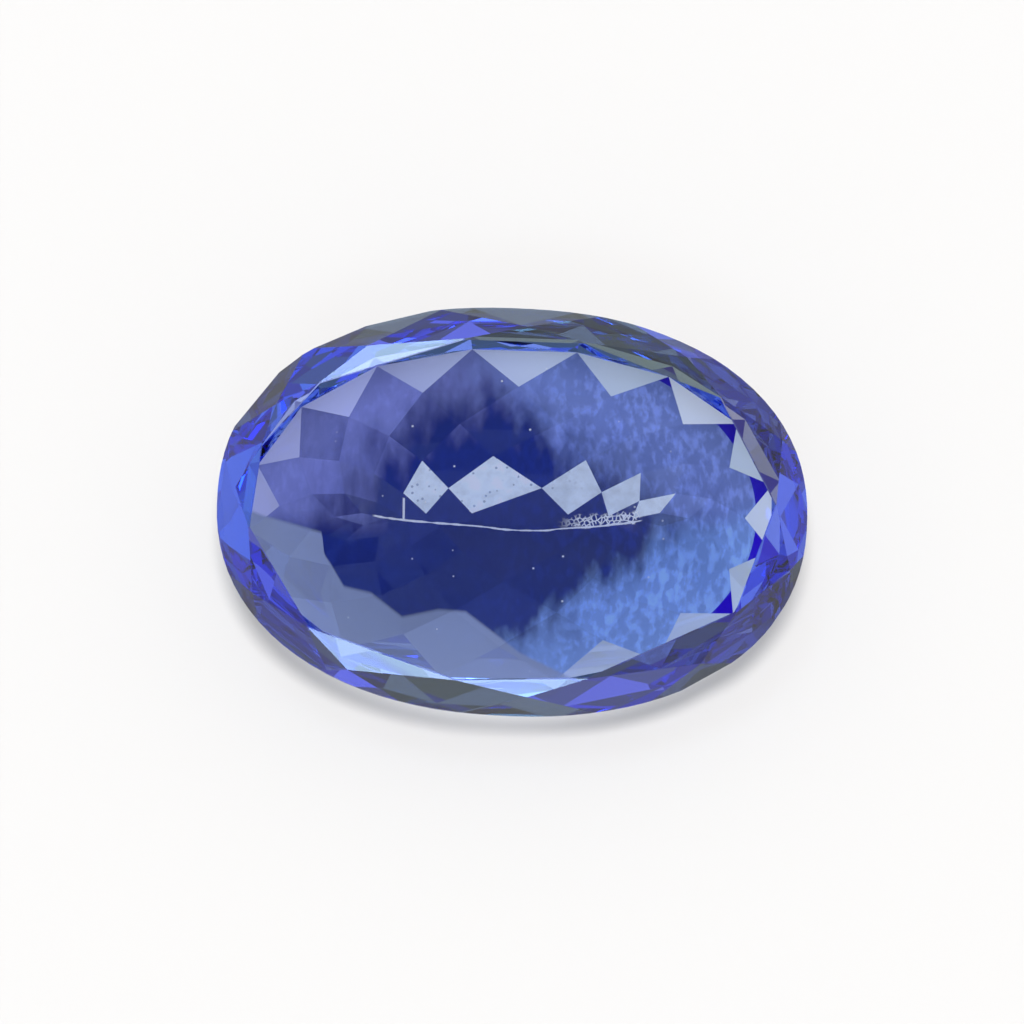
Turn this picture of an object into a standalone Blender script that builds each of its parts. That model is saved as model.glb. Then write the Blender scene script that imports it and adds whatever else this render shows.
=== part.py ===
"""Oval cut tanzanite: one loose faceted stone, lying on a facet of its pavilion.

The stone is cut from a block the way a lapidary cuts it, one flat at a time.
It is drawn upright in millimetres, with its girdle at height zero, its table
above and its keel below. Then it is laid down on one pavilion facet and scaled
to metres. The pavilion is a staggered net of kites that ends in a keel. Each
kite is flat, so the height of its lowest corner follows from its other three.
"""
import math

import bmesh
import bpy
from mathutils import Matrix, Vector

MM = 0.001

# Size of the stone, in millimetres
LENGTH = 13.0
WIDTH = 9.0
CROWN_HEIGHT = 0.60
GIRDLE_THICKNESS = 0.20
OUTLINE_FULLNESS = 2.2
OUTLINE_TURN = -2.0
GIRDLE_FLATS = 96

# Table: azimuths of its corners as cut by hand, and its distance from the girdle
TABLE_MARGIN = 0.70
TABLE_CORNERS = (2.7, 40.4, 74.3, 100.7, 135.4, 159.3, 186.6, 222.0, 258.2, 286.9, 326.0)

# Crown angles from the table, in degrees
STAR_ANGLE = 12.0
MAIN_ANGLE = 36.0
BREAK_ANGLE = 54.0

# Pavilion net: columns of facets, and where each ring of corners lies,
# as a share of the way from the keel (0) to the girdle (1)
COLUMNS = 16
RING_UPPER = 0.82
RING_MAIN = 0.64
RING_MIDDLE = 0.47
RING_LOWER = 0.31
RING_DEEP = 0.16
RING_KEEL = 0.035
MAIN_PAVILION_ANGLE = 27.0
UPPER_RING_DROP = 1.80
KEEL_SHARE = 0.424
KEEL_SPREAD = 0.58

# The keel lies off the middle towards -Y, and that side of the net is the deeper,
# so that both sides meet there, in millimetres
KEEL_OFFSET = -0.10
KEEL_LEAN = -0.28

# The hand-held cut is turned a little, more at one end than at the other. Towards
# the keel it is turned the other way, and only on the side towards +Y
INDEX_OFFSET = -3.2
INDEX_DRIFT = 3.0
KEEL_TURN = 9.0

# Facet that the stone lies on: the kite beside the keel on the long side towards -Y
REST_AZIMUTH = 270.0

# Smallest steps that the cutting keeps apart, in millimetres
CUT_TOLERANCE = 1e-5
MERGE_DISTANCE = 5e-4

HALF_LENGTH = LENGTH / 2
HALF_WIDTH = WIDTH / 2
STEP = 360.0 / COLUMNS
INSIDE = Vector((0.0, 0.0, -0.5))


def fullness(angle):
    """How far the oval swells past an ellipse in this direction."""
    power = OUTLINE_FULLNESS
    return (abs(math.cos(angle)) ** power + abs(math.sin(angle)) ** power) ** (-1 / power)


def outline_point(angle, margin=0.0, z=0.0):
    """A point of the oval, drawn in from the girdle by a margin."""
    swell = fullness(angle)
    x = (HALF_LENGTH - margin) * math.cos(angle) * swell
    y = (HALF_WIDTH - margin) * math.sin(angle) * swell
    return Vector((x, y, z))


def net_point(share, azimuth):
    """Plan position of a corner of the pavilion net."""
    drift = INDEX_OFFSET + INDEX_DRIFT * math.cos(math.radians(azimuth))
    turn = KEEL_TURN * (1 + math.sin(math.radians(azimuth))) / 2
    angle = math.radians(azimuth + share * drift + (1 - share) ** 2 * turn)
    cosine, sine = math.cos(angle), math.sin(angle)
    swell = 1 + (fullness(angle) - 1) * share
    keel = KEEL_SHARE * HALF_LENGTH
    spread = KEEL_SPREAD + (1 - KEEL_SPREAD) * share
    x = keel * math.copysign(abs(cosine) ** spread, cosine)
    x += (HALF_LENGTH - keel) * share * cosine * swell
    y = HALF_WIDTH * share * sine * swell + KEEL_OFFSET * (1 - share)
    return Vector((x, y, 0.0))


def plane_through(first, second, third):
    """Point and outward normal of the plane through three corners."""
    normal = (second - first).cross(third - first).normalized()
    if normal.dot(INSIDE - first) > 0:
        normal.negate()
    return first, normal


def height_on(plane, place):
    """Height of a plane above a plan position."""
    point, normal = plane
    across = normal.x * (place.x - point.x) + normal.y * (place.y - point.y)
    return point.z - across / normal.z


def sloped_plane(point, heading, angle):
    """Plane through a point, leaning by an angle from the table towards a heading."""
    sine = math.sin(angle)
    normal = Vector((math.cos(heading) * sine, math.sin(heading) * sine, math.cos(angle)))
    return point, normal


def kite_row(tips, sides, shift, share, azimuths):
    """Planes of one row of kites, and their lowest corners."""
    planes = []
    lowest = []
    for column, tip in enumerate(tips):
        left = sides[(column + shift) % COLUMNS]
        right = sides[(column + shift + 1) % COLUMNS]
        plane = plane_through(tip, left, right)
        corner = net_point(share, azimuths[column])
        corner.z = height_on(plane, corner)
        planes.append(plane)
        lowest.append(corner)
    return planes, lowest


def main_corner(azimuth, upper_z):
    """Corner where the main kites meet, the deeper the further it lies towards -Y."""
    corner = net_point(RING_MAIN, azimuth)
    outwards = (net_point(RING_UPPER, azimuth) - corner) / (RING_UPPER - RING_MAIN)
    outwards.y += KEEL_LEAN
    run = outwards.length * (RING_UPPER - RING_MAIN * math.cos(math.radians(STEP / 2)))
    corner.z = upper_z - run * math.tan(math.radians(MAIN_PAVILION_ANGLE))
    return corner


def pavilion_planes():
    """Planes of the pavilion, from the girdle down to the keel."""
    on_step = [column * STEP for column in range(COLUMNS)]
    off_step = [(column + 0.5) * STEP for column in range(COLUMNS)]
    upper_z = -GIRDLE_THICKNESS / 2 - UPPER_RING_DROP
    lift = Vector((0.0, 0.0, 1.0))
    upper = [net_point(RING_UPPER, azimuth) + lift * upper_z for azimuth in off_step]
    main = [main_corner(azimuth, upper_z) for azimuth in on_step]
    edge = [net_point(1.0, azimuth) - lift * GIRDLE_THICKNESS / 2 for azimuth in on_step]
    planes = []
    for column in range(COLUMNS):
        planes.append(plane_through(edge[column], upper[column - 1], upper[column]))
        planes.append(plane_through(main[column], upper[column - 1], upper[column]))
    mains, middle = kite_row(upper, main, 0, RING_MIDDLE, off_step)
    lowers, lower = kite_row(main, middle, -1, RING_LOWER, on_step)
    deeps, deep = kite_row(middle, lower, 0, RING_DEEP, off_step)
    culets, last = kite_row(lower, deep, -1, RING_KEEL, on_step)
    keels, _ = kite_row(deep, last, 0, 0.0, off_step)
    rest = culets[round(REST_AZIMUTH / STEP)]
    return planes + mains + lowers + deeps + culets + keels, rest


def girdle_planes():
    """Upright flats all round the oval, which sits a little turned over the pavilion."""
    planes = []
    small = 1e-3
    turn = Matrix.Rotation(math.radians(OUTLINE_TURN), 3, "Z")
    for flat in range(GIRDLE_FLATS):
        angle = 2 * math.pi * flat / GIRDLE_FLATS
        along = outline_point(angle + small) - outline_point(angle - small)
        normal = Vector((along.y, -along.x, 0.0)).normalized()
        planes.append((turn @ outline_point(angle), turn @ normal))
    return planes


def meeting_point(planes):
    """The point where three planes meet."""
    rows = Matrix([normal for _, normal in planes])
    offsets = Vector([point.dot(normal) for point, normal in planes])
    return rows.inverted() @ offsets


def crown_planes():
    """Table, star, main and break facets of the crown."""
    corners = []
    for azimuth in TABLE_CORNERS:
        corners.append(outline_point(math.radians(azimuth), TABLE_MARGIN, CROWN_HEIGHT))
    count = len(corners)
    headings = []
    for index, corner in enumerate(corners):
        edge = corners[(index + 1) % count] - corner
        headings.append(math.atan2(-edge.x, edge.y))
    stars = []
    mains = []
    for index, corner in enumerate(corners):
        before = Vector((math.cos(headings[index - 1]), math.sin(headings[index - 1])))
        after = Vector((math.cos(headings[index]), math.sin(headings[index])))
        middle = before + after
        heading = math.atan2(middle.y, middle.x)
        stars.append(sloped_plane(corner, headings[index], math.radians(STAR_ANGLE)))
        mains.append(sloped_plane(corner, heading, math.radians(MAIN_ANGLE)))
    breaks = []
    for index in range(count):
        apex = meeting_point((stars[index], mains[index], mains[(index + 1) % count]))
        breaks.append(sloped_plane(apex, headings[index], math.radians(BREAK_ANGLE)))
    table = (Vector((0.0, 0.0, CROWN_HEIGHT)), Vector((0.0, 0.0, 1.0)))
    return [table] + stars + mains + breaks


def cut_flat(mesh, plane):
    """Grind one flat: take off what lies past the plane and close the cut."""
    point, normal = plane
    geometry = mesh.verts[:] + mesh.edges[:] + mesh.faces[:]
    bmesh.ops.bisect_plane(
        mesh, geom=geometry, dist=CUT_TOLERANCE, plane_co=point, plane_no=normal, clear_outer=True
    )
    open_edges = [edge for edge in mesh.edges if edge.is_boundary]
    if open_edges:
        bmesh.ops.holes_fill(mesh, edges=open_edges, sides=0)


def lay_down(mesh, rest):
    """Turn the stone onto its resting facet, with its origin under the middle."""
    _, normal = rest
    down = Vector((0.0, 0.0, -1.0))
    turn = normal.rotation_difference(down).to_matrix()
    bmesh.ops.rotate(mesh, cent=(0.0, 0.0, 0.0), matrix=turn, verts=mesh.verts)
    low = Vector([min(vert.co[axis] for vert in mesh.verts) for axis in range(3)])
    high = Vector([max(vert.co[axis] for vert in mesh.verts) for axis in range(3)])
    shift = Vector((-(low.x + high.x) / 2, -(low.y + high.y) / 2, -low.z))
    bmesh.ops.translate(mesh, vec=shift, verts=mesh.verts)


def cut_stone():
    """The finished stone as a mesh in metres."""
    stone = bmesh.new()
    bmesh.ops.create_cube(stone, size=2 * LENGTH)
    pavilion, rest = pavilion_planes()
    for plane in girdle_planes() + pavilion + crown_planes():
        cut_flat(stone, plane)
    bmesh.ops.remove_doubles(stone, verts=stone.verts, dist=MERGE_DISTANCE)
    lay_down(stone, rest)
    bmesh.ops.scale(stone, vec=(MM, MM, MM), verts=stone.verts)
    bmesh.ops.recalc_face_normals(stone, faces=stone.faces)
    return stone


def tanzanite_material():
    """Clear violet-blue stone."""
    material = bpy.data.materials.new("tanzanite")
    material.use_nodes = True
    shader = material.node_tree.nodes["Principled BSDF"]
    shader.inputs["Base Color"].default_value = (0.13, 0.16, 0.52, 1.0)
    shader.inputs["Metallic"].default_value = 0.0
    shader.inputs["Roughness"].default_value = 0.02
    shader.inputs["IOR"].default_value = 1.69
    shader.inputs["Transmission Weight"].default_value = 1.0
    return material


def make_tanzanite(collection):
    """The stone as a named object in its collection."""
    stone = cut_stone()
    mesh = bpy.data.meshes.new("tanzanite")
    stone.to_mesh(mesh)
    stone.free()
    mesh.materials.append(tanzanite_material())
    tanzanite = bpy.data.objects.new("tanzanite", mesh)
    collection.objects.link(tanzanite)


def main():
    for old in list(bpy.data.objects):
        bpy.data.objects.remove(old, do_unlink=True)
    collection = bpy.data.collections.new("oval_cut_tanzanite")
    bpy.context.scene.collection.children.link(collection)
    make_tanzanite(collection)


main()
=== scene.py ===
"""Oval cut tanzanite, dressed: the polished stone with its worn keel, on a plain pale stage."""
import math

import bpy
from mathutils import Matrix, Vector


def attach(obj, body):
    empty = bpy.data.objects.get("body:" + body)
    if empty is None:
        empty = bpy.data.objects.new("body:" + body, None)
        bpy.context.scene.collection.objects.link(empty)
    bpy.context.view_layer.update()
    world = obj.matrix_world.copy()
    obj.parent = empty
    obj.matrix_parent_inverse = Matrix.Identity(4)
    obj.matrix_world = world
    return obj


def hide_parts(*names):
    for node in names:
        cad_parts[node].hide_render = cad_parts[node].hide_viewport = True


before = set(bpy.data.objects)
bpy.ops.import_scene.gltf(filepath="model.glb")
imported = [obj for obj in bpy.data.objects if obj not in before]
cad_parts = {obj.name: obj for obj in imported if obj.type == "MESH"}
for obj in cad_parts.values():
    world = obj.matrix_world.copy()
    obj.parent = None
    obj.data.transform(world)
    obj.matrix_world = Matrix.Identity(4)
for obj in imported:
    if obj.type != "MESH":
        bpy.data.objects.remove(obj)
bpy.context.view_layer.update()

bl_info = {
    "name": "Oval cut tanzanite",
    "version": (1, 0, 0),
    "blender": (4, 5, 0),
    "location": "View3D > Sidebar > Tanzanite",
    "description": "Dresses a faceted oval tanzanite and sets it on a plain pale stage",
    "category": "Add Mesh",
}

MM = 0.001
STONE_NODE = "tanzanite"

# Shade in the sky: azimuth on the oval and angle from the table's direction, in degrees
SHADE_PLACE = (90, 3)

# Angles of the shade's edge and core about its middle, in degrees
SHADE_DISC = (15, 7)

# Soft boxes: azimuth on the oval, angle from the table's direction, and radius, in degrees
SOFT_BOXES = ((107, 27, 7), (268, 21, 6), (243, 21, 5))

# Width of a soft box's fading edge, in degrees
BOX_FADE = 2

# Direction towards the light that casts the shadow, and its width in the sky, in degrees
KEY_DIRECTION = (0.0, -0.15, 1.0)
KEY_WIDTH = 10

# Half sizes of the pad that glows in the floor, and the floor's drop below the stone, in millimetres
PAD_HALF_LENGTH = 6.2
PAD_HALF_WIDTH = 4.2
FLOOR_DROP = 0.01

# How far below the table the camera aims, and the width of its sensor, in millimetres
AIM_DEPTH = 0.7
SENSOR_WIDTH = 36.0

# Bounces of light, enough that no crown facet turns black
BOUNCES = 24

# Painted light and shade of the crown: what each facet lets through, painted to stand for where the light
# comes back
WHITE = (1.0, 1.0, 1.0, 1.0)
CLEAR = (0.85, 0.97, 1.0, 1.0)
LILAC = (0.70, 0.76, 1.0, 1.0)
ROYAL = (0.03, 0.18, 1.0, 1.0)
VIOLET = (0.14, 0.13, 0.95, 1.0)
PERIWINKLE = (0.18, 0.26, 1.0, 1.0)
MAUVE = (0.20, 0.16, 0.22, 1.0)
SLATE = (0.09, 0.12, 0.07, 1.0)
DUSK = (0.10, 0.10, 0.24, 1.0)

# Painted light and shade on the crown facets, by slope in degrees up to which each list holds, then by
# azimuth
PAINTED_CROWN_LIGHT = (
    (20, ((60, MAUVE), (98, SLATE), (152, CLEAR), (205, ROYAL), (238, VIOLET), (256, LILAC),
          (264, SLATE), (292, LILAC), (335, DUSK), (360, PERIWINKLE))),
    (45, ((25, PERIWINKLE), (70, MAUVE), (95, SLATE), (112, VIOLET), (200, ROYAL), (216, VIOLET),
          (232, DUSK), (262, SLATE), (300, VIOLET), (335, DUSK), (360, PERIWINKLE))),
    (70, ((20, SLATE), (62, DUSK), (80, PERIWINKLE), (112, SLATE), (118, VIOLET), (158, SLATE),
          (195, ROYAL), (250, SLATE), (262, VIOLET), (272, SLATE), (290, VIOLET), (298, SLATE),
          (310, VIOLET), (360, SLATE))),
    (95, ((360, DUSK),)),
)

# Slopes in degrees: the table is flatter than the first, its worn edge than the second
TABLE_SLOPE = 1
EDGE_SLOPE = 9

# Facets with normals above this, along the table's own direction, belong to crown and girdle
CROWN_RISE = -0.05

# Rows of facets counted inwards from the girdle
GIRDLE_ROW = 1
TRIANGLE_ROW = 2
MAIN_ROW = 3
CULET_ROW = 6

# Culets painted as open, lighter windows above this height and right of this place, in millimetres
OPEN_ABOVE = 0.1
OPEN_FROM = -2.4

# Worn line of the keel and edge of the painted pale patch of light: stops across and up the table, in
# millimetres
KEEL_LINE = (
    (-3.2, 0.0), (-2.5, -0.10), (-0.8, -0.22), (0.5, -0.31), (1.1, -0.26), (2.0, -0.19), (3.0, -0.04),
)
PAINTED_PATCH_EDGE = (
    (-6.0, 0.1), (-5.4, -0.1), (-4.2, -0.42), (-4.15, -0.9), (-4.0, -1.12), (-3.7, -1.62),
    (-3.1, -1.75), (-2.4, -2.28), (-1.6, -2.1), (-1.0, -2.14), (-0.3, -2.66), (0.2, -3.04), (2.0, -3.9),
)


class StoneSettings(bpy.types.PropertyGroup):
    """What a user would change on the stone."""
    edge_width: bpy.props.FloatProperty(
        name="Edge width", description="Width of the worn line round the table",
        default=0.03 * MM, unit="LENGTH", precision=6,
    )
    refractive_index: bpy.props.FloatProperty(
        name="Refractive index", description="Mean refractive index of the crystal", default=1.69,
    )
    body_colour: bpy.props.FloatVectorProperty(
        name="Body colour", description="Colour that the crystal lets through",
        subtype="COLOR", size=4, default=(0.325, 0.50, 0.91, 1.0),
    )
    depth_of_colour: bpy.props.FloatProperty(
        name="Depth of colour", description="How strongly the crystal absorbs, per metre", default=200.0,
    )
    # Painted light and shade of the facets below the girdle: dark in the middle, lighter towards the ends
    painted_deep_shade: bpy.props.FloatVectorProperty(
        name="Deep tone", description="Tone that the lower facets return in the middle",
        subtype="COLOR", size=4, default=(0.0001, 0.0007, 0.047, 1.0),
    )
    painted_violet_light: bpy.props.FloatVectorProperty(
        name="Violet tone", description="Tone that they return towards the left end",
        subtype="COLOR", size=4, default=(0.066, 0.080, 0.43, 1.0),
    )
    painted_bright_light: bpy.props.FloatVectorProperty(
        name="Bright tone", description="Tone that they return towards the right end",
        subtype="COLOR", size=4, default=(0.068, 0.120, 0.54, 1.0),
    )
    painted_low_bright_light: bpy.props.FloatVectorProperty(
        name="Low bright tone", description="The same, below the keel",
        subtype="COLOR", size=4, default=(0.066, 0.175, 0.68, 1.0),
    )
    # Painted shade on the tips of the main kites at the right end
    painted_tip_shade: bpy.props.FloatVectorProperty(
        name="Tip tone", description="Tone of the small tips at the right end",
        subtype="COLOR", size=4, default=(0.0006, 0.0, 0.35, 1.0),
    )
    # Painted light of the open windows
    painted_left_window_light: bpy.props.FloatVectorProperty(
        name="Left window", description="Tone of the outer triangles at the left end",
        subtype="COLOR", size=4, default=(0.37, 0.40, 0.90, 1.0),
    )
    painted_right_window_light: bpy.props.FloatVectorProperty(
        name="Right window", description="Tone of the outer triangles at the right end",
        subtype="COLOR", size=4, default=(0.77, 0.98, 1.0, 1.0),
    )
    painted_kite_window_light: bpy.props.FloatVectorProperty(
        name="Kite window", description="Tone of the open kites above the keel",
        subtype="COLOR", size=4, default=(0.76, 0.87, 0.90, 1.0),
    )
    pit_tone: bpy.props.FloatVectorProperty(
        name="Pit tone", description="Tone of the small pits in them",
        subtype="COLOR", size=4, default=(0.20, 0.26, 0.36, 1.0),
    )
    # Painted light: the pale patch along the lower left
    painted_rim_light: bpy.props.FloatVectorProperty(
        name="Rim tone", description="Tone of the pale patch along the lower left",
        subtype="COLOR", size=4, default=(0.12, 0.165, 0.32, 1.0),
    )
    wear_roughness: bpy.props.FloatProperty(
        name="Wear roughness", description="How matt the worn places are", default=0.5,
    )
    # Painted light and shade: lighter and darker flecks in the facets
    painted_fleck_depth: bpy.props.FloatProperty(
        name="Ripple depth", description="How strongly the ripple in the stone mottles it", default=1.0,
    )


class StageSettings(bpy.types.PropertyGroup):
    """What a user would change on the stage."""
    camera_tilt: bpy.props.FloatProperty(
        name="Camera tilt", description="How far below square to the table the camera looks from",
        subtype="ANGLE", default=math.radians(3.5),
    )
    camera_distance: bpy.props.FloatProperty(
        name="Camera distance", description="From the camera to the middle of the stone",
        unit="LENGTH", default=0.25,
    )
    picture_width: bpy.props.FloatProperty(
        name="Picture width", description="Width of what the picture takes in at the stone",
        unit="LENGTH", default=22.56 * MM,
    )
    floor_colour: bpy.props.FloatVectorProperty(
        name="Floor colour", description="Matt pale floor", subtype="COLOR", size=4,
        default=(0.425, 0.412, 0.40, 1.0),
    )
    floor_glow: bpy.props.FloatProperty(
        name="Floor glow", description="Light that the floor gives off all over", default=0.20,
    )
    pad_glow: bpy.props.FloatProperty(
        name="Pad glow", description="Light that the floor gives off besides, under the stone",
        default=0.42,
    )
    sky_strength: bpy.props.FloatProperty(
        name="Sky strength", description="Brightness of the soft light overhead", default=0.70,
    )
    horizon_strength: bpy.props.FloatProperty(
        name="Horizon strength", description="Brightness of the soft light all round, low down",
        default=1.1,
    )
    shade_strength: bpy.props.FloatProperty(
        name="Shade strength", description="Brightness left where the camera keeps the light off",
        default=0.08,
    )
    box_strength: bpy.props.FloatProperty(
        name="Box strength", description="Brightness of the small soft boxes that the crown mirrors",
        default=8.0,
    )
    box_colour: bpy.props.FloatVectorProperty(
        name="Box colour", description="Cool colour of those boxes", subtype="COLOR", size=4,
        default=(0.55, 0.76, 1.0, 1.0),
    )
    key_strength: bpy.props.FloatProperty(
        name="Key strength", description="Brightness of the light that casts the shadow", default=3.2,
    )


def deselect_all():
    """Nothing selected, nothing active in edit mode."""
    if bpy.context.object and bpy.context.object.mode != "OBJECT":
        bpy.ops.object.mode_set(mode="OBJECT")
    bpy.ops.object.select_all(action="DESELECT")


def activate(piece):
    """This piece alone selected, and active."""
    deselect_all()
    piece.select_set(True)
    bpy.context.view_layer.objects.active = piece


def copy_of_node(node, name):
    """A merged copy of a CAD node, with its flat facets whole again."""
    activate(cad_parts[node])
    bpy.ops.object.duplicate()
    piece = bpy.context.object
    piece.name = name
    piece.parent = None
    for key in list(piece.keys()):
        del piece[key]
    bpy.ops.object.mode_set(mode="EDIT")
    bpy.ops.mesh.select_all(action="SELECT")
    bpy.ops.mesh.remove_doubles(threshold=1e-6)
    bpy.ops.mesh.dissolve_limited(angle_limit=math.radians(0.4))
    bpy.ops.mesh.normals_make_consistent(inside=False)
    bpy.ops.object.mode_set(mode="OBJECT")
    return piece


def wear_table_edge(stone, width):
    """A narrow flat all round the table, where its edge is worn."""
    activate(stone)
    table = max(stone.data.polygons, key=lambda facet: facet.area).index
    bpy.ops.object.mode_set(mode="EDIT")
    bpy.ops.mesh.select_all(action="DESELECT")
    bpy.ops.mesh.select_mode(type="FACE")
    bpy.ops.object.mode_set(mode="OBJECT")
    stone.data.polygons[table].select = True
    bpy.ops.object.mode_set(mode="EDIT")
    bpy.ops.mesh.region_to_loop()
    bpy.ops.mesh.bevel(offset=width / 2, offset_type="OFFSET", segments=1, affect="EDGES")
    bpy.ops.object.mode_set(mode="OBJECT")


def table_frame(mesh):
    """Axes of the stone: along, up the table and out of it, with the middle of the oval."""
    table = max(mesh.polygons, key=lambda facet: facet.area)
    out = table.normal.normalized()
    along = Vector((1.0, 0.0, 0.0))
    along = (along - out * along.dot(out)).normalized()
    up = out.cross(along)
    middle = out * table.center.dot(out)
    for axis in (along, up):
        spans = [vert.co.dot(axis) for vert in mesh.vertices]
        middle += axis * (min(spans) + max(spans)) / 2
    return along, up, out, middle


def rows_of(mesh, out):
    """Row of each facet: 0 for the crown and girdle, then 1, 2 and on towards the keel."""
    facets_at = {}
    for facet in mesh.polygons:
        for key in facet.edge_keys:
            facets_at.setdefault(key, []).append(facet.index)
    rows = {facet.index: 0 for facet in mesh.polygons if facet.normal.dot(out) > CROWN_RISE}
    front = list(rows)
    while front:
        following = []
        for index in front:
            for key in mesh.polygons[index].edge_keys:
                for neighbour in facets_at[key]:
                    if neighbour not in rows:
                        rows[neighbour] = rows[index] + 1
                        following.append(neighbour)
        front = following
    return rows


def painted_crown_light(facet, along, up, out):
    """Painted light and shade of a crown or girdle facet, by its slope from the table and its azimuth."""
    slope = math.degrees(facet.normal.angle(out))
    azimuth = math.degrees(math.atan2(facet.normal.dot(up), facet.normal.dot(along))) % 360
    if slope < EDGE_SLOPE:
        return WHITE
    for steepest, painted_lights in PAINTED_CROWN_LIGHT:
        if slope < steepest:
            for last, painted_light in painted_lights:
                if azimuth <= last:
                    return painted_light
    return WHITE


def random_painted_shade(across, height):
    """A scattered value from 0 to 1 for a facet with this place in millimetres, for its painted shade."""
    return math.sin(across * 12.9898 + height * 78.233) * 43758.5453 % 1.0


def mark_facets(stone):
    """Store on each facet its row, its painted light and shade on the crown, a painted shade of its own,
    and whether it is painted as an open window or worn.
    """
    mesh = stone.data
    along, up, out, middle = table_frame(mesh)
    rows = rows_of(mesh, out)
    values = {"row": [], "window": [], "painted_facet_shade": [], "edge": []}
    painted_lights = []
    for facet in mesh.polygons:
        across = (facet.center - middle).dot(along) / MM
        height = (facet.center - middle).dot(up) / MM
        row = rows[facet.index]
        open_culet = row == CULET_ROW and height > OPEN_ABOVE and across > OPEN_FROM
        painted_lights.extend(painted_crown_light(facet, along, up, out) if row == 0 else WHITE)
        slope = math.degrees(facet.normal.angle(out))
        values["edge"].append(1.0 if TABLE_SLOPE < slope < EDGE_SLOPE else 0.0)
        values["row"].append(float(row))
        values["window"].append(1.0 if row == TRIANGLE_ROW or open_culet else 0.0)
        values["painted_facet_shade"].append(random_painted_shade(across, height))
    for name, numbers in values.items():
        layer = mesh.attributes.new(name, "FLOAT", "FACE")
        layer.data.foreach_set("value", numbers)
    # Painted light and shade of the crown, kept on each facet
    mesh.attributes.new("painted_light", "FLOAT_COLOR", "FACE").data.foreach_set("color", painted_lights)


def plug(tree, value, socket):
    """Link a socket or set a plain value."""
    if isinstance(value, bpy.types.NodeSocket):
        tree.links.new(value, socket)
    elif value is not None:
        socket.default_value = value


def calculate(tree, operation, first, second=None, third=None):
    """Result of a math node."""
    node = tree.nodes.new("ShaderNodeMath")
    node.operation = operation
    for value, socket in zip((first, second, third), node.inputs):
        plug(tree, value, socket)
    return node.outputs[0]


def times(tree, first, second):
    return calculate(tree, "MULTIPLY", first, second)


def plus(tree, first, second):
    return calculate(tree, "ADD", first, second)


def step_between(tree, value, low, high):
    """0 below low, 1 above high, smooth between. It falls instead when low is above high."""
    node = tree.nodes.new("ShaderNodeMapRange")
    node.interpolation_type = "SMOOTHSTEP"
    plug(tree, value, node.inputs["Value"])
    falls = low > high
    node.inputs["From Min"].default_value = min(low, high)
    node.inputs["From Max"].default_value = max(low, high)
    node.inputs["To Min"].default_value = 1.0 if falls else 0.0
    node.inputs["To Max"].default_value = 0.0 if falls else 1.0
    return node.outputs["Result"]


def span(tree, value, start, full, fade, end):
    """1 from full to fade, falling smoothly to 0 at start and end."""
    return times(tree, step_between(tree, value, start, full), step_between(tree, value, end, fade))


def blend(tree, factor, first, second, mode="MIX"):
    """Two colours mixed, the second by the factor."""
    node = tree.nodes.new("ShaderNodeMix")
    node.data_type = "RGBA"
    node.blend_type = mode
    plug(tree, factor, node.inputs[0])
    plug(tree, first, node.inputs[6])
    plug(tree, second, node.inputs[7])
    return node.outputs[2]


def shaded(tree, painted_tones, value, amount=1.0):
    """Tones multiplied by a value, in part or whole."""
    grey = tree.nodes.new("ShaderNodeCombineColor")
    for socket in grey.inputs:
        tree.links.new(value, socket)
    return blend(tree, amount, painted_tones, grey.outputs["Color"], "MULTIPLY")


def attribute(tree, name):
    """Value that mark_facets stored on each facet."""
    node = tree.nodes.new("ShaderNodeAttribute")
    node.attribute_name = name
    return node.outputs["Fac"]


def stone_coordinates(tree, stone):
    """Millimetres along the oval and up the table, from Object coordinates."""
    along, up, out, middle = table_frame(stone.data)
    turn = Matrix((along, up, out))
    coordinates = tree.nodes.new("ShaderNodeTexCoord")
    mapping = tree.nodes.new("ShaderNodeMapping")
    mapping.inputs["Rotation"].default_value = turn.to_euler()
    mapping.inputs["Scale"].default_value = (1 / MM, 1 / MM, 1 / MM)
    mapping.inputs["Location"].default_value = -(turn @ middle) / MM
    tree.links.new(coordinates.outputs["Object"], mapping.inputs["Vector"])
    split = tree.nodes.new("ShaderNodeSeparateXYZ")
    tree.links.new(mapping.outputs["Vector"], split.inputs["Vector"])
    return mapping.outputs["Vector"], split.outputs["X"], split.outputs["Y"]


def stretched_noise(tree, place, scale, size, detail=3.0):
    """Noise stretched along the axes, as a value about 0.5."""
    mapping = tree.nodes.new("ShaderNodeMapping")
    mapping.inputs["Scale"].default_value = scale
    tree.links.new(place, mapping.inputs["Vector"])
    noise = tree.nodes.new("ShaderNodeTexNoise")
    noise.inputs["Scale"].default_value = size
    noise.inputs["Detail"].default_value = detail
    tree.links.new(mapping.outputs["Vector"], noise.inputs["Vector"])
    return noise.outputs["Fac"]


def curve_of(tree, value, stops, bends="AUTO"):
    """A curve through stops of (place, height), both in millimetres."""
    low, high = stops[0][0], stops[-1][0]
    ramp = tree.nodes.new("ShaderNodeFloatCurve")
    heights = [height for _, height in stops]
    base, top = min(heights), max(heights)
    points = ramp.mapping.curves[0].points
    while len(points) < len(stops):
        points.new(0.5, 0.5)
    for point, (place, height) in zip(points, stops):
        point.location = ((place - low) / (high - low), (height - base) / (top - base))
        point.handle_type = bends
    ramp.mapping.update()
    share = tree.nodes.new("ShaderNodeMapRange")
    plug(tree, value, share.inputs["Value"])
    share.inputs["From Min"].default_value = low
    share.inputs["From Max"].default_value = high
    tree.links.new(share.outputs["Result"], ramp.inputs["Value"])
    return calculate(tree, "MULTIPLY_ADD", ramp.outputs["Value"], top - base, base)


def oval_reach(tree, across, height, half_length, half_width):
    """0 in the middle of the oval, and 1 on an ellipse with these half sizes in millimetres."""
    along_share = calculate(tree, "POWER", calculate(tree, "DIVIDE", across, half_length), 2.0)
    up_share = calculate(tree, "POWER", calculate(tree, "DIVIDE", height, half_width), 2.0)
    return plus(tree, along_share, up_share)


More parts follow.
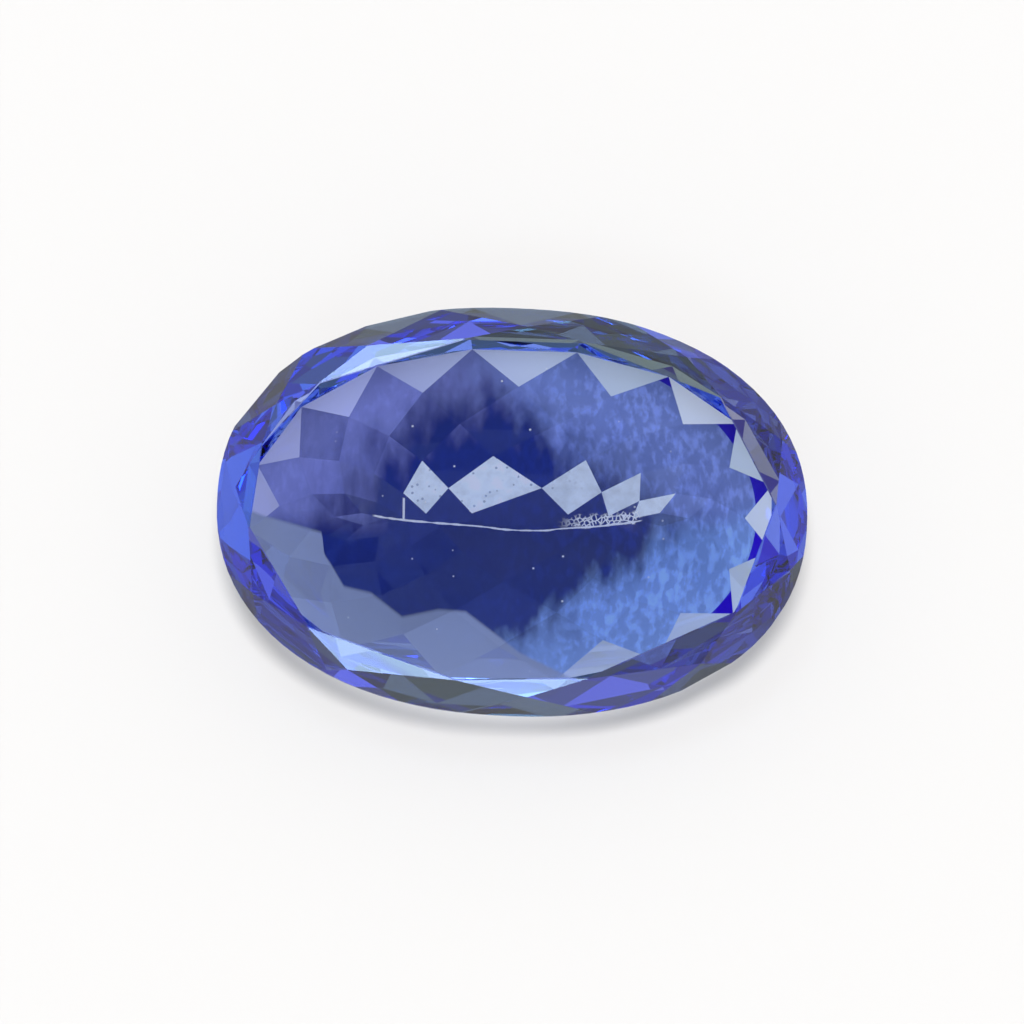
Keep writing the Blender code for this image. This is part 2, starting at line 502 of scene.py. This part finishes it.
def painted_facet_light(tree, settings, place, across, height):
    """Painted light and shade of the lower facets: dark in the middle, violet upper left, bright right.
    """
    own = calculate(tree, "MULTIPLY_ADD", attribute(tree, "painted_facet_shade"), -0.18, 0.09)
    streaks = stretched_noise(tree, place, (1.5, 0.5, 1.0), 1.5)
    outer = plus(tree, oval_reach(tree, across, height, 6.0, 4.0), own)
    outer = plus(tree, outer, calculate(tree, "MULTIPLY_ADD", streaks, 0.5, -0.25))
    left = times(tree, step_between(tree, outer, 0.23, 0.75), step_between(tree, height, -0.5, 0.2))
    painted_tones = blend(tree, left, settings.painted_deep_shade, settings.painted_violet_light)

    # The painted bright end's edge slants away from the keel, further right below it than above
    slant = calculate(tree, "ABSOLUTE", calculate(tree, "SUBTRACT", height, 0.1))
    slant = plus(tree, calculate(tree, "MULTIPLY_ADD", slant, 1.35, across), own)
    slant = plus(tree, slant, calculate(tree, "MULTIPLY_ADD", streaks, 3.0, -1.5))
    lower = step_between(tree, height, 0.6, -0.6)
    held = calculate(tree, "MULTIPLY_ADD", slant, 0.5, -2.85)
    right = step_between(tree, calculate(tree, "MULTIPLY_ADD", lower, held, slant), 2.4, 5.2)
    bright = blend(tree, lower, settings.painted_bright_light, settings.painted_low_bright_light)
    return blend(tree, right, painted_tones, bright)


def painted_flecks(tree, settings, place, across, painted_tones):
    """Painted light and shade: tones mottled with lighter and darker flecks, stronger towards the right.
    """
    fleck_noise = stretched_noise(tree, place, (1.0, 0.5, 1.0), 5.5, 2.5)
    flecks = calculate(tree, "MULTIPLY_ADD", step_between(tree, fleck_noise, 0.42, 0.70), 1.0, 0.72)
    amount = calculate(tree, "MULTIPLY_ADD", step_between(tree, across, -0.8, 2.6), 0.75, 0.25)
    return shaded(tree, painted_tones, flecks, times(tree, amount, settings.painted_fleck_depth))


def painted_dark_tips(tree, across, height):
    """Painted shade: the outer tips of the main kites at the right end, made dark."""
    tips = calculate(tree, "GREATER_THAN", oval_reach(tree, across, height, 6.5, 4.5), 0.69)
    tips = times(tree, tips, calculate(tree, "GREATER_THAN", across, 3.0))
    return times(tree, tips, calculate(tree, "COMPARE", attribute(tree, "row"), float(MAIN_ROW), 0.1))


def painted_window_light(tree, settings, place, across):
    """Painted light of the open windows: the outer triangles, and the pitted kites above the keel."""
    along = step_between(tree, across, -4.0, 4.5)
    triangle = blend(tree, along, settings.painted_left_window_light, settings.painted_right_window_light)
    pits = times(tree, specks(tree, place, 8.0, 0.30, 0.40), step_between(tree, across, 2.0, 0.3))
    kite = blend(tree, pits, settings.painted_kite_window_light, settings.pit_tone)
    mottle = stretched_noise(tree, place, (1.0, 1.0, 1.0), 3.0)
    kite = shaded(tree, kite, calculate(tree, "MULTIPLY_ADD", mottle, 1.2, 0.35))
    is_triangle = calculate(tree, "COMPARE", attribute(tree, "row"), float(TRIANGLE_ROW), 0.1)
    return blend(tree, is_triangle, kite, triangle)


def painted_pale_patch(tree, across, height):
    """Painted light: a pale patch along the lower left, with a scalloped edge."""
    edge = curve_of(tree, across, PAINTED_PATCH_EDGE, "VECTOR")
    patch = step_between(tree, calculate(tree, "SUBTRACT", edge, height), -0.04, 0.07)
    return times(tree, patch, step_between(tree, across, 2.2, 0.6))


def specks(tree, place, density, size, share):
    """Small dots in a share of the cells of a pattern."""
    cells = tree.nodes.new("ShaderNodeTexVoronoi")
    cells.inputs["Scale"].default_value = density
    tree.links.new(place, cells.inputs["Vector"])
    dot = step_between(tree, cells.outputs["Distance"], size, size * 0.6)
    split = tree.nodes.new("ShaderNodeSeparateColor")
    tree.links.new(cells.outputs["Color"], split.inputs["Color"])
    return times(tree, dot, calculate(tree, "LESS_THAN", split.outputs["Red"], share))


def crumbs(tree, place, density):
    """Thin lines between the cells of a pattern."""
    cells = tree.nodes.new("ShaderNodeTexVoronoi")
    cells.feature = "DISTANCE_TO_EDGE"
    cells.inputs["Scale"].default_value = density
    tree.links.new(place, cells.inputs["Vector"])
    return step_between(tree, cells.outputs["Distance"], 0.16, 0.06)


def worn_places(tree, place, across, height):
    """White wear: the keel's line, a nick at its left end, its crumbled stretch, and dust."""
    above = calculate(tree, "SUBTRACT", height, curve_of(tree, across, KEEL_LINE))
    wander = stretched_noise(tree, place, (1.0, 1.0, 1.0), 5.0)
    half_width = calculate(tree, "MULTIPLY_ADD", wander, 0.05, -0.005)
    line = calculate(tree, "LESS_THAN", calculate(tree, "ABSOLUTE", above), half_width)
    line = times(tree, line, span(tree, across, -3.1, -3.0, 2.8, 2.9))
    nick = span(tree, across, -2.43, -2.415, -2.385, -2.37)
    nick = times(tree, nick, span(tree, above, -0.02, 0.0, 0.46, 0.50))
    uneven = calculate(tree, "MULTIPLY_ADD", wander, 0.3, plus(tree, above, -0.15))
    band = times(tree, span(tree, uneven, 0.0, 0.03, 0.18, 0.27), span(tree, across, 1.0, 1.8, 2.75, 2.9))
    crumbled = times(tree, crumbs(tree, place, 10.0), band)
    inner = step_between(tree, calculate(tree, "ABSOLUTE", across), 4.5, 1.0)
    worn = times(tree, specks(tree, place, 3.0, 0.09, 0.5), inner)
    for wear in (line, nick, crumbled):
        worn = calculate(tree, "MAXIMUM", worn, wear)
    return worn


def crystal_material(settings, stone):
    """Clear crystal: plain transmission, with the colour taken up along the path, and painted light and
    shade in the colour of its facets.
    """
    material = bpy.data.materials.new("tanzanite_crystal")
    material.use_nodes = True
    tree = material.node_tree
    shader = tree.nodes["Principled BSDF"]
    place, across, height = stone_coordinates(tree, stone)
    # Painted light and shade on the facets below the girdle
    painted_tones = painted_facet_light(tree, settings, place, across, height)
    painted_tones = painted_flecks(tree, settings, place, across, painted_tones)
    painted_tones = blend(tree, painted_dark_tips(tree, across, height), painted_tones, settings.painted_tip_shade)
    painted_tones = blend(tree, attribute(tree, "window"), painted_tones, painted_window_light(tree, settings, place, across))
    painted_tones = blend(tree, painted_pale_patch(tree, across, height), painted_tones, settings.painted_rim_light)

    # Painted shade: each facet a little lighter or darker than the next, at random, then the wear
    painted_tones = shaded(tree, painted_tones, calculate(tree, "MULTIPLY_ADD", attribute(tree, "painted_facet_shade"), -0.5, 1.25))
    worn = worn_places(tree, place, across, height)
    painted_tones = blend(tree, worn, painted_tones, WHITE)

    # Only the net inside the girdle row has these painted tones; the crown has its own painted light and
    # shade
    is_net = calculate(tree, "GREATER_THAN", attribute(tree, "row"), GIRDLE_ROW + 0.5)
    crown = tree.nodes.new("ShaderNodeAttribute")
    crown.attribute_name = "painted_light"
    painted_tones = blend(tree, is_net, crown.outputs["Color"], painted_tones)
    tree.links.new(painted_tones, shader.inputs["Base Color"])
    worn = calculate(tree, "MAXIMUM", times(tree, worn, is_net), attribute(tree, "edge"))
    tree.links.new(times(tree, worn, settings.wear_roughness), shader.inputs["Roughness"])

    shader.inputs["IOR"].default_value = settings.refractive_index
    shader.inputs["Transmission Weight"].default_value = 1.0
    absorption = tree.nodes.new("ShaderNodeVolumeAbsorption")
    absorption.inputs["Color"].default_value = settings.body_colour
    absorption.inputs["Density"].default_value = settings.depth_of_colour
    tree.links.new(absorption.outputs["Volume"], tree.nodes["Material Output"].inputs["Volume"])
    return material


class TANZANITE_OT_stone(bpy.types.Operator):
    """Polish the cut stone"""
    bl_idname = "tanzanite.stone"
    bl_label = "Polished stone"

    def execute(self, context):
        settings = context.scene.tanzanite_stone
        stone = copy_of_node(STONE_NODE, "polished_stone")
        wear_table_edge(stone, settings.edge_width)
        mark_facets(stone)
        stone.data.materials.clear()
        stone.data.materials.append(crystal_material(settings, stone))
        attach(stone, "root")
        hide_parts(STONE_NODE)
        return {"FINISHED"}


class TANZANITE_OT_stage(bpy.types.Operator):
    """Set the stone on a pale floor under soft light"""
    bl_idname = "tanzanite.stage"
    bl_label = "Stage"

    def execute(self, context):
        settings = context.scene.tanzanite_stage
        axes = table_frame(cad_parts[STONE_NODE].data)
        add_floor(settings)
        add_world(settings, axes)
        add_key_light(settings)
        add_camera(settings, axes)
        context.scene.view_settings.view_transform = "Standard"
        context.scene.cycles.max_bounces = BOUNCES
        context.scene.cycles.transmission_bounces = BOUNCES
        context.scene.cycles.glossy_bounces = BOUNCES
        return {"FINISHED"}


def add_floor(settings):
    """Matt floor that glows softly under the stone, as a light pad does."""
    deselect_all()
    bpy.ops.mesh.primitive_plane_add(size=2.0, location=(0.0, 0.0, -FLOOR_DROP * MM))
    floor = bpy.context.object
    floor.name = "floor"
    bpy.ops.object.transform_apply(location=True)
    material = bpy.data.materials.new("pale_floor")
    material.use_nodes = True
    tree = material.node_tree
    shader = tree.nodes["Principled BSDF"]
    shader.inputs["Base Color"].default_value = settings.floor_colour
    shader.inputs["Roughness"].default_value = 0.9
    shader.inputs["Specular IOR Level"].default_value = 0.0
    coordinates = tree.nodes.new("ShaderNodeTexCoord")
    mapping = tree.nodes.new("ShaderNodeMapping")
    mapping.inputs["Scale"].default_value = (
        1 / (PAD_HALF_LENGTH * MM), 1 / (PAD_HALF_WIDTH * MM), 1.0,
    )
    tree.links.new(coordinates.outputs["Object"], mapping.inputs["Vector"])
    length = tree.nodes.new("ShaderNodeVectorMath")
    length.operation = "LENGTH"
    tree.links.new(mapping.outputs["Vector"], length.inputs[0])
    pad = step_between(tree, length.outputs["Value"], 1.0, 0.8)
    strength = calculate(tree, "MULTIPLY_ADD", pad, settings.pad_glow, settings.floor_glow)
    shader.inputs["Emission Color"].default_value = (1.0, 1.0, 1.0, 1.0)
    tree.links.new(strength, shader.inputs["Emission Strength"])
    floor.data.materials.append(material)


def view_direction(settings, axes):
    """From the stone towards the camera."""
    _, up, out, _ = axes
    return (out * math.cos(settings.camera_tilt) - up * math.sin(settings.camera_tilt)).normalized()


def glow_towards(tree, place, direction, edge, core):
    """1 inside a disc of the sky about a direction, with angles of its edge and core in degrees."""
    dot = tree.nodes.new("ShaderNodeVectorMath")
    dot.operation = "DOT_PRODUCT"
    dot.inputs[1].default_value = direction
    tree.links.new(place, dot.inputs[0])
    outer = math.cos(math.radians(edge))
    inner = math.cos(math.radians(core))
    return step_between(tree, dot.outputs["Value"], outer, inner)


def off_table(axes, azimuth, angle):
    """Direction at an angle from the table's own, towards an azimuth of the oval, in degrees."""
    along, up, out, _ = axes
    sine = math.sin(math.radians(angle))
    side = along * math.cos(math.radians(azimuth)) + up * math.sin(math.radians(azimuth))
    return out * math.cos(math.radians(angle)) + side * sine


def add_world(settings, axes):
    """Soft light all round, kept off the table, and small soft boxes for the crown to mirror."""
    world = bpy.data.worlds.new("soft_studio")
    world.use_nodes = True
    bpy.context.scene.world = world
    tree = world.node_tree
    back = tree.nodes["Background"]
    place = tree.nodes.new("ShaderNodeTexCoord").outputs["Generated"]
    split = tree.nodes.new("ShaderNodeSeparateXYZ")
    tree.links.new(place, split.inputs["Vector"])
    low = step_between(tree, split.outputs["Z"], 0.75, 0.15)
    rise = settings.horizon_strength - settings.sky_strength
    light = calculate(tree, "MULTIPLY_ADD", low, rise, settings.sky_strength)
    shade = glow_towards(tree, place, off_table(axes, *SHADE_PLACE), *SHADE_DISC)
    kept = calculate(tree, "MULTIPLY_ADD", shade, settings.shade_strength - 1.0, 1.0)
    light = times(tree, light, kept)
    boxes = 0.0
    for azimuth, angle, radius in SOFT_BOXES:
        box = glow_towards(tree, place, off_table(axes, azimuth, angle), radius, radius - BOX_FADE)
        boxes = calculate(tree, "MAXIMUM", box, boxes)
    light = calculate(tree, "MULTIPLY_ADD", boxes, settings.box_strength, light)
    tree.links.new(light, back.inputs["Strength"])
    tree.links.new(blend(tree, boxes, WHITE, settings.box_colour), back.inputs["Color"])


def add_key_light(settings):
    """Broad light from overhead, so that the shadow stays close round the stone."""
    bpy.ops.object.light_add(type="SUN")
    key = bpy.context.object
    key.name = "key_light"
    key.data.energy = settings.key_strength
    key.data.angle = math.radians(KEY_WIDTH)
    key.visible_glossy = False
    key.visible_transmission = False
    direction = Vector(KEY_DIRECTION).normalized()
    key.rotation_euler = direction.to_track_quat("Z", "Y").to_euler()


def add_camera(settings, axes):
    """Camera almost square to the table, aimed at a point just below its middle."""
    _, _, out, middle = axes
    towards = view_direction(settings, axes)
    bpy.ops.object.camera_add()
    camera = bpy.context.object
    camera.name = "camera"
    camera.location = middle - out * AIM_DEPTH * MM + towards * settings.camera_distance
    camera.rotation_euler = towards.to_track_quat("Z", "Y").to_euler()
    camera.data.sensor_width = SENSOR_WIDTH
    camera.data.lens = SENSOR_WIDTH * settings.camera_distance / settings.picture_width
    camera.data.clip_start = 0.001
    bpy.context.scene.camera = camera


class TANZANITE_PT_panel(bpy.types.Panel):
    """Settings and buttons in the sidebar of the 3D view."""
    bl_idname = "TANZANITE_PT_panel"
    bl_label = "Oval cut tanzanite"
    bl_space_type = "VIEW_3D"
    bl_region_type = "UI"
    bl_category = "Tanzanite"

    def draw(self, context):
        for settings, button in (
            (context.scene.tanzanite_stage, TANZANITE_OT_stage),
            (context.scene.tanzanite_stone, TANZANITE_OT_stone),
        ):
            box = self.layout.box()
            for name in settings.__annotations__:
                box.prop(settings, name)
            box.operator(button.bl_idname)


CLASSES = (
    StoneSettings,
    StageSettings,
    TANZANITE_OT_stone,
    TANZANITE_OT_stage,
    TANZANITE_PT_panel,
)


def register():
    for cls in CLASSES:
        bpy.utils.register_class(cls)
    bpy.types.Scene.tanzanite_stone = bpy.props.PointerProperty(type=StoneSettings)
    bpy.types.Scene.tanzanite_stage = bpy.props.PointerProperty(type=StageSettings)


def unregister():
    del bpy.types.Scene.tanzanite_stage
    del bpy.types.Scene.tanzanite_stone
    for cls in reversed(CLASSES):
        bpy.utils.unregister_class(cls)


def main():
    register()
    bpy.ops.tanzanite.stage()
    bpy.ops.tanzanite.stone()


if __name__ == "__main__":
    main()
